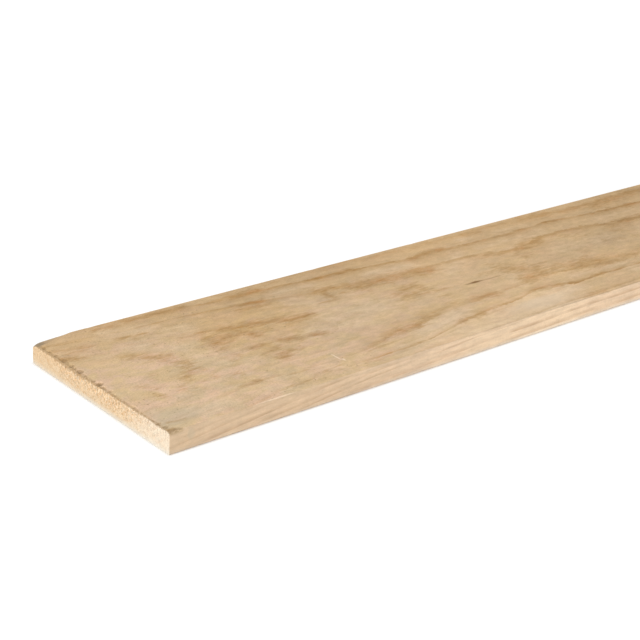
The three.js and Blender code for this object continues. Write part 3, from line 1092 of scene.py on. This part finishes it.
def pine_shade(nodes, place, axes, tone, fibre):
    """How light the planed wood is, with 1 for plain wood: clouds and mottling, the slow
    changes of tone, the darker near arris and the painted highlight on the far one, the layers
    of fibre and the fine grain."""
    on_edge = attribute(nodes, "edge")
    mottled = change_at(nodes, axes, "mottling")
    mottled = nodes.times(mottled, change_at(nodes, axes, "end mottling"))
    shade = nodes.swing(tone["Mottle"], mottled, base=nodes.swing(tone["Cloud"], 0.25))
    shade = nodes.line(shade, nodes.line(on_edge, -0.3, 1.0), 1.0)
    for change in (attribute(nodes, "tone"), dark_arris_and_highlight(nodes, axes)):
        shade = nodes.math("ADD", shade, change)
    for name, start, end, strength, later, added in FIBRE_LAYERS:
        strength = nodes.span(axes[X], start, end, strength, later)
        shade = nodes.swing(fibre[name], nodes.line(on_edge, added, strength), base=shade)
    grain = nodes.noise(place, (0.8, 0.8, 0.8), 2.0, 0.6)
    grainy = nodes.times(nodes.line(on_edge, -1.0, 1.0), change_at(nodes, axes, "grain"))
    return nodes.swing(grain, grainy, base=shade)


def speck_share(nodes, place, axes):
    """Fine dark specks on the upper face, strewn in patches and fewer along the plank."""
    specks = nodes.span(nodes.noise(place, (0.36, 0.32, 0.32), 1.0, 0.5), 0.66, 0.74)
    strewn = nodes.span(nodes.noise(place, (0.018, 0.03, 0.03), 2.0, 0.5), 0.42, 0.60)
    strewn = nodes.times(strewn, change_at(nodes, axes, "specks"))
    off_edge = nodes.line(attribute(nodes, "edge"), -1.0, 1.0)
    return nodes.times(nodes.times(specks, strewn), off_edge)


def planed_pine():
    """Planed faces and edges: growth figure, fibre, slow tone, the marks of handling, torn
    wood with painted shade, and the skip's painted shade."""
    material, nodes, place, axes = start_material("planed_pine")
    late = latewood_share(nodes, place)
    fibre = place_group(nodes, "fibre", place)
    tone = place_group(nodes, "tone", place)
    base = pine_colour(nodes, place, axes, tone, late)
    base = nodes.shaded(base, pine_shade(nodes, place, axes, tone, fibre))
    base = nodes.tint(base, fibre["Canals"], 0.5, CANAL)
    base = nodes.mix(speck_share(nodes, place, axes), base, CANAL)
    for mark in MARKS:
        base = painted_mark(nodes, base, place, mark)
    # Torn arrises in torn fibre's brown with painted shade, and painted shade in the chips' pits.
    ragged = nodes.span(nodes.noise(place, (0.5, 1.1, 0.8), 3.0, 0.65), 0.36, 0.56, 0.3, 1.0)
    torn = nodes.times(attribute(nodes, "torn"), ragged)
    base = nodes.tint(base, torn, 0.8, TORN_WOOD_AND_SHADE)
    base = nodes.tint(base, attribute(nodes, "pit_shade"), 0.7, PIT_SHADE)
    # Painted shade on the skip, whose surface turns away from the light, strongest next to the
    # end.
    base = nodes.tint(base, attribute(nodes, "painted_skip_shade"), change_at(nodes, axes, "skip_shade_strength"), SKIP_SHADE)
    wire_shader(nodes, base, roughness=nodes.line(late, -0.10, 0.74), shine=0.25,
                height=nodes.line(late, 0.6, fibre["Relief"]), strength=0.35, depth=0.2)
    return material


def torn_rim_and_shade(nodes, height, across, speck):
    """The dark torn wood below a sawn end's upper arris, torn fibre's brown with painted shade: a
    strip with a ragged lower edge, deepest a little past the middle and thin at both sides."""
    start, end, depth, shift = (
        nodes.span(across, *END_CHANGES[name])
        for name in ("rim start", "rim end", "rim depth", "rim shift"))
    depth = nodes.times(nodes.times(depth, end), start)
    upper, lower = RIM_FADE
    fade = nodes.math("SUBTRACT", THICKNESS - lower, depth)
    ragged = nodes.swing(speck, 5.0, base=nodes.math("ADD", height, shift))
    return nodes.span(ragged, fade, THICKNESS - upper)


def sawn_end():
    """Sawn ends: the rings cut across, torn fibre and the scores of the saw, with painted shade
    in the torn rim and painted floor light and contact shade low down. The wood is pale and
    calm towards the near edge, and rough and warm in the upper part beyond it."""
    material, nodes, place, axes = start_material("sawn_end")
    torn = nodes.noise(place, (0.4, 0.5, 0.30), 4.0, 0.7, 0.4)
    speck = nodes.noise(place, (0.5, 0.70, 0.42), 3.0, 0.8)
    pores = nodes.noise(place, (0.5, 1.7, 1.1), 2.0, 0.7)
    clouds = nodes.noise(place, (0.1, 0.16, 0.20), 4.0, 0.75, 0.5)
    across = nodes.swing(clouds, 60.0, base=axes[Y])
    pale, calm, low = (
        nodes.span(across, *END_CHANGES[name]) for name in ("pale", "calm", "floor_light_and_shade"))
    warm = nodes.span(nodes.swing(clouds, 40.0, base=axes[Z]), 2.0, 14.0)
    rough = nodes.times(warm, nodes.line(pale, -0.8, 1.0))
    busy = nodes.times(nodes.line(rough, 0.65, 0.18), calm)
    base = nodes.mix(pale, END_WOOD, END_PALE)
    base = nodes.tint(base, rough, 0.38, END_ORANGE)
    base = nodes.tint(base, nodes.span(speck, 0.34, 0.48, 1.0, 0.0), busy, END_PALE)
    base = nodes.tint(base, nodes.span(speck, 0.50, 0.66), busy, END_SPECK)
    base = nodes.tint(base, thin_rings(nodes, place, 0.3), 0.25, END_SPECK)
    shade = nodes.math("ADD", nodes.swing(torn, 1.2), nodes.swing(pores, 2.0))
    shade = nodes.line(shade, nodes.math("ADD", busy, 0.33), 1.0)
    base = nodes.shaded(base, nodes.swing(clouds, -0.30, base=shade))
    # A pale grey painted low on the end: painted light from the white floor, and painted shade
    # where the plank meets it.
    floor_light_and_shade = nodes.span(axes[Z], 0.0, 4.5, 0.8, 0.0, smooth=False)
    base = nodes.tint(base, floor_light_and_shade, low, FLOOR_LIGHT_AND_SHADE)
    # The torn rim in torn fibre's brown with painted shade.
    base = nodes.tint(base, torn_rim_and_shade(nodes, axes[Z], across, speck), 0.64, TORN_WOOD_AND_SHADE)
    height = nodes.line(pores, 0.5, nodes.math("ADD", torn, speck))
    wire_shader(nodes, base, roughness=0.9, shine=0.15, height=height, strength=0.6, depth=0.4)
    return material


# ---------------------------------------------------------------- studio
# The floor's reach and how far below the plank it lies, in metres, and its glow's strength.
FLOOR_REACH = 30.0
FLOOR_DROP = 0.0002
GLOW = 1.2
WORLD_LEVEL = 0.68
# The softbox beyond the skip end and the strip lamp along the near edge: name, place and aim
# in millimetres from the plank's corner, width and height in metres, power.
LAMPS = (
    ("softbox", (-1960.0, -300.0, 1040.0), (100.0, 95.0, 19.0), (1.2, 1.2), 35.0),
    ("strip", (650.0, -620.0, 120.0), (500.0, 0.0, 10.0), (0.6, 0.16), 1.7),
)
# The camera's aim, in millimetres from the plank's corner, and how it is turned.
CAMERA_AIM = (254.034, 128.581, 0.0)
CAMERA_DISTANCE = 1358.658
CAMERA_AZIMUTH = -41.772
CAMERA_ELEVATION = 23.293
CAMERA_ROLL = 3.438
CAMERA_LENS = 86.424
CAMERA_CLIP = (0.05, 100.0)
SENSOR = 36.0


def add_object(name, data):
    """A new object in the scene that shows a mesh, a lamp or a camera."""
    made = bpy.data.objects.new(name, data)
    bpy.context.scene.collection.objects.link(made)
    return made


def aim_object(thing, place, aim, roll):
    """Stands a lamp or camera at a place and turns it to its aim, both in millimetres from the
    plank's corner, with a roll in degrees about its own axis."""
    thing.location = (Vector(place) + Vector(CORNER)) * MM
    thing.rotation_mode = "QUATERNION"
    turned = (Vector(aim) - Vector(place)).to_track_quat("-Z", "Y")
    thing.rotation_quaternion = turned @ Quaternion((0, 0, 1), math.radians(roll))


def glow_share(nodes):
    """How much of the floor's white glow the camera sees: all of it far away, most of it near
    the plank, where its soft shadow shows, and hardly any within a millimetre or so."""
    place = nodes.add("ShaderNodeTexCoord").outputs["Object"]
    half = (-LENGTH / 2 * MM, -WIDTH / 2 * MM, 0.0)
    beyond = nodes.vector("ADD", nodes.vector("ABSOLUTE", place), half)
    beyond = nodes.vector("MAXIMUM", beyond, (0.0, 0.0, 0.0))
    away = nodes.times(nodes.vector("LENGTH", beyond), 1 / MM)
    close = nodes.span(away, 0.7, 2.0, 0.05, 0.56)
    return nodes.math("MAXIMUM", close, nodes.span(away, 100.0, 400.0))


def floor():
    """A wide pale floor at the underside's level. To the camera it is white, and it keeps
    part of the plank's shadow."""
    mesh = bpy.data.meshes.new("studio_floor")
    corners = [(-1, -1, 0), (1, -1, 0), (1, 1, 0), (-1, 1, 0)]
    mesh.from_pydata((np.array(corners) * FLOOR_REACH).tolist(), [], [(0, 1, 2, 3)])
    material = bpy.data.materials.new("studio_floor")
    material.use_nodes = True
    nodes = Nodes(material.node_tree)
    nodes.tree.nodes.remove(nodes.tree.nodes["Principled BSDF"])
    pale = nodes.add("ShaderNodeBsdfDiffuse", {"Color": (0.96, 0.96, 0.96, 1.0)})
    glow = nodes.add("ShaderNodeEmission", {"Color": (1.0, 1.0, 1.0, 1.0), "Strength": GLOW})
    seen = nodes.add("ShaderNodeLightPath").outputs["Is Camera Ray"]
    mixed = nodes.add("ShaderNodeMixShader", {
        0: nodes.times(seen, glow_share(nodes)), 1: pale.outputs[0], 2: glow.outputs[0]})
    nodes.feed(nodes.tree.nodes["Material Output"].inputs["Surface"], mixed.outputs[0])
    mesh.materials.append(material)
    piece = add_object("studio_floor", mesh)
    piece.location.z = -FLOOR_DROP


def lights():
    """An even white world, a large softbox beyond the skip end, and a low strip lamp that
    lifts the near edge. The camera sees the world white and the lamps not at all."""
    world = bpy.data.worlds.new("studio")
    world.use_nodes = True
    nodes = Nodes(world.node_tree)
    background = world.node_tree.nodes["Background"]
    seen = nodes.add("ShaderNodeLightPath").outputs["Is Camera Ray"]
    nodes.feed(background.inputs["Strength"], nodes.line(seen, 1.0 - WORLD_LEVEL, WORLD_LEVEL))
    nodes.feed(background.inputs["Color"], (1.0, 1.0, 1.0, 1.0))
    bpy.context.scene.world = world
    for name, place, aim, (width, height), power in LAMPS:
        light = bpy.data.lights.new(name, "AREA")
        light.shape = "RECTANGLE"
        light.size, light.size_y = width, height
        light.energy = power
        lamp = add_object(name, light)
        lamp.visible_camera = False
        aim_object(lamp, place, aim, 0.0)


def camera():
    """A camera on a sphere round its aim, rolled a little about its own axis."""
    azimuth, elevation = math.radians(CAMERA_AZIMUTH), math.radians(CAMERA_ELEVATION)
    back = Vector((
        math.sin(azimuth) * math.cos(elevation),
        -math.cos(azimuth) * math.cos(elevation),
        math.sin(elevation),
    ))
    data = bpy.data.cameras.new("view")
    data.sensor_width = SENSOR
    data.lens = CAMERA_LENS
    data.clip_start, data.clip_end = CAMERA_CLIP
    view = add_object("view", data)
    aim_object(view, Vector(CAMERA_AIM) + back * CAMERA_DISTANCE, CAMERA_AIM, CAMERA_ROLL)
    bpy.context.scene.camera = view


# ---------------------------------------------------------------- build
camera()
lights()
floor()
bpy.context.scene.view_settings.view_transform = "Standard"

plank = add_object("plank_wood", plank_mesh())
plank.data.materials.append(planed_pine())
plank.data.materials.append(sawn_end())
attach(plank, "root")
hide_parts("plank")
